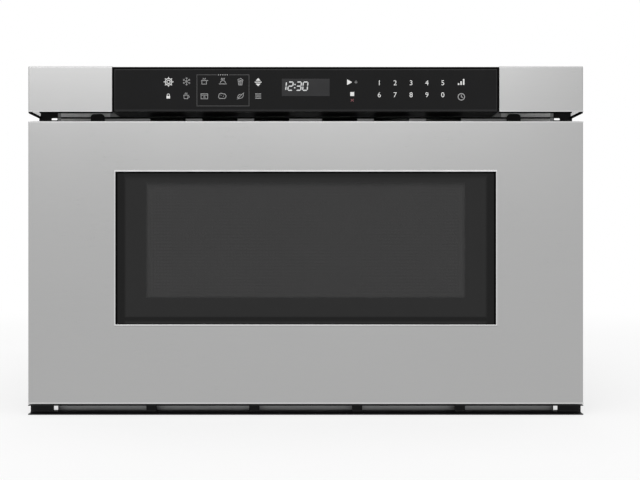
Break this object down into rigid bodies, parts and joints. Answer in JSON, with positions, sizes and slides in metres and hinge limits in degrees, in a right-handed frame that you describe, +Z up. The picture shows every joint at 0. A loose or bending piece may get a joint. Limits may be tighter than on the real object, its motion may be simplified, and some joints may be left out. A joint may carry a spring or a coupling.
{
  "type": "microwave drawer",
  "caption": "Built-in microwave oven with a wide, motor-driven drawer under a slim touch control panel, for fitting into a cabinet cut-out.",
  "frame": {"origin": "middle of the footprint, on the plane the case stands on", "axes": "+X to the right seen from the front, +Y to the back, +Z up; the drawer opens towards -Y"},
  "size_m": [0.6064, 0.594, 0.381],
  "materials": {
    "stainless": "fine horizontal brushed grain",
    "zinc_plated_steel": "dull galvanised sheet",
    "black_painted_steel": "satin black paint",
    "cavity_enamel": "light grey enamel",
    "rail_steel": "bright zinc, lightly greased",
    "bearing_steel": "polished",
    "shaft_steel": "ground",
    "screw_steel": "zinc plated",
    "black_glass": "glossy, black behind",
    "display_filter": "smoked",
    "window_glass": "tinted, glossy",
    "clear_glass": "clear, glossy",
    "white_ceramic_glass": "opaque, satin",
    "shield_plate": "fine punched, satin black",
    "black_plastic": "moulded, lightly grained",
    "grey_plastic": "moulded, satin",
    "natural_nylon": "moulded",
    "rubber": "matt",
    "mica": "pressed mica",
    "aluminium": "mill finish",
    "electrical_steel": "stacked laminations, varnished",
    "copper_windings": "varnished copper under tape",
    "bronze": "sintered, oiled",
    "motor_can": "passivated",
    "circuit_board": "soldered board",
    "red_plastic": "moulded"
  },
  "bodies": {
    "cabinet": {"base_pan": "zinc_plated_steel", "outer_case": "zinc_plated_steel", "back_panel": "zinc_plated_steel", "case_screws": "screw_steel", "front_frame": "zinc_plated_steel", "control_bracket": "zinc_plated_steel", "mounting_flanges": "black_painted_steel", "bottom_grille": "black_painted_steel", "frame_bumpers": "rubber", "side_trims": "stainless", "control_housing": "black_plastic", "control_glass": "black_glass", "display_lens": "display_filter", "control_board": "circuit_board", "oven_cavity": "cavity_enamel", "ceiling_cover": "mica", "waveguide": "zinc_plated_steel", "antenna_motor": "motor_can", "magnetron_case": "zinc_plated_steel", "magnetron_anode": "aluminium", "fan_shroud": "black_plastic", "fan_motor": "electrical_steel", "transformer_core": "electrical_steel", "transformer_windings": "copper_windings", "hv_capacitor": "aluminium", "oven_lamp": "natural_nylon", "cord_bushing": "black_plastic", "rail_brackets": "zinc_plated_steel", "rails_outer": "rail_steel", "shaft_brackets": "zinc_plated_steel", "shaft_bushes": "bronze", "drive_motor": "motor_can", "interlock_switches": "black_plastic", "interlock_brackets": "zinc_plated_steel"},
    "drawer": {"drawer_skin": "stainless", "window_glass": "window_glass", "window_retainer": "black_plastic", "inner_panel": "cavity_enamel", "perforated_screen": "shield_plate", "inner_window": "clear_glass", "choke_cover": "grey_plastic", "drawer_tub": "grey_plastic", "glass_tray": "white_ceramic_glass", "tub_glides": "natural_nylon", "drawer_arms": "zinc_plated_steel", "drawer_racks": "natural_nylon", "latch_hooks": "grey_plastic", "rails_inner": "rail_steel"},
    "middle_rails": {"rails_middle": "rail_steel"},
    "outer_cages": {"outer_ball_cages": "bearing_steel"},
    "inner_cages": {"inner_ball_cages": "bearing_steel"},
    "cross_shaft": {"drive_shaft": "shaft_steel", "shaft_pinions": "natural_nylon", "driven_gear": "natural_nylon"},
    "motor_pinion": {"motor_gear": "bronze"},
    "antenna": {"stirrer_antenna": "aluminium"},
    "impeller": {"fan_impeller": "grey_plastic"},
    "primary_switch_plunger": {"primary_plunger": "red_plastic"},
    "secondary_switch_plunger": {"secondary_plunger": "red_plastic"},
    "monitor_switch_plunger": {"monitor_plunger": "red_plastic"}
  },
  "joints": [
    {"name": "drawer_slide", "type": "slide", "parent": "cabinet", "child": "drawer", "axis": [0, -1, 0], "range_m": [0, 0.381]},
    {"name": "middle_rail_slide", "type": "slide", "parent": "cabinet", "child": "middle_rails", "axis": [0, -1, 0], "range_m": [0, 0.1905]},
    {"name": "outer_cage_slide", "type": "slide", "parent": "cabinet", "child": "outer_cages", "axis": [0, -1, 0], "range_m": [0, 0.09525]},
    {"name": "inner_cage_slide", "type": "slide", "parent": "cabinet", "child": "inner_cages", "axis": [0, -1, 0], "range_m": [0, 0.28575]},
    {"name": "cross_shaft_spin", "type": "hinge", "parent": "cabinet", "child": "cross_shaft", "pos_m": [0, -0.215, 0.023], "axis": [1, 0, 0], "range_deg": [0, 1456]},
    {"name": "motor_pinion_spin", "type": "hinge", "parent": "cabinet", "child": "motor_pinion", "pos_m": [0.06, -0.19508, 0.03971], "axis": [1, 0, 0], "range_deg": [-3275, 0]},
    {"name": "antenna_spin", "type": "hinge", "parent": "cabinet", "child": "antenna", "pos_m": [0, -0.0335, 0.3], "axis": [0, 0, 1], "continuous": true},
    {"name": "fan_spin", "type": "hinge", "parent": "cabinet", "child": "impeller", "pos_m": [0.13, 0.242, 0.278], "axis": [1, 0, 0], "continuous": true},
    {"name": "primary_plunger_slide", "type": "slide", "parent": "cabinet", "child": "primary_switch_plunger", "axis": [0, 1, 0], "range_m": [0, 0.0015], "stiffness_N_per_m": 300},
    {"name": "secondary_plunger_slide", "type": "slide", "parent": "cabinet", "child": "secondary_switch_plunger", "axis": [0, 1, 0], "range_m": [0, 0.0015], "stiffness_N_per_m": 300},
    {"name": "monitor_plunger_slide", "type": "slide", "parent": "cabinet", "child": "monitor_switch_plunger", "axis": [0, 1, 0], "range_m": [0, 0.0015], "stiffness_N_per_m": 300}
  ],
  "couplings": [
    {"joint": "middle_rail_slide", "follows": "drawer_slide", "ratio": 0.5},
    {"joint": "outer_cage_slide", "follows": "drawer_slide", "ratio": 0.25},
    {"joint": "inner_cage_slide", "follows": "drawer_slide", "ratio": 0.75},
    {"joint": "cross_shaft_spin", "follows": "drawer_slide", "rad_per_m": 66.667},
    {"joint": "motor_pinion_spin", "follows": "drawer_slide", "rad_per_m": -150}
  ]
}
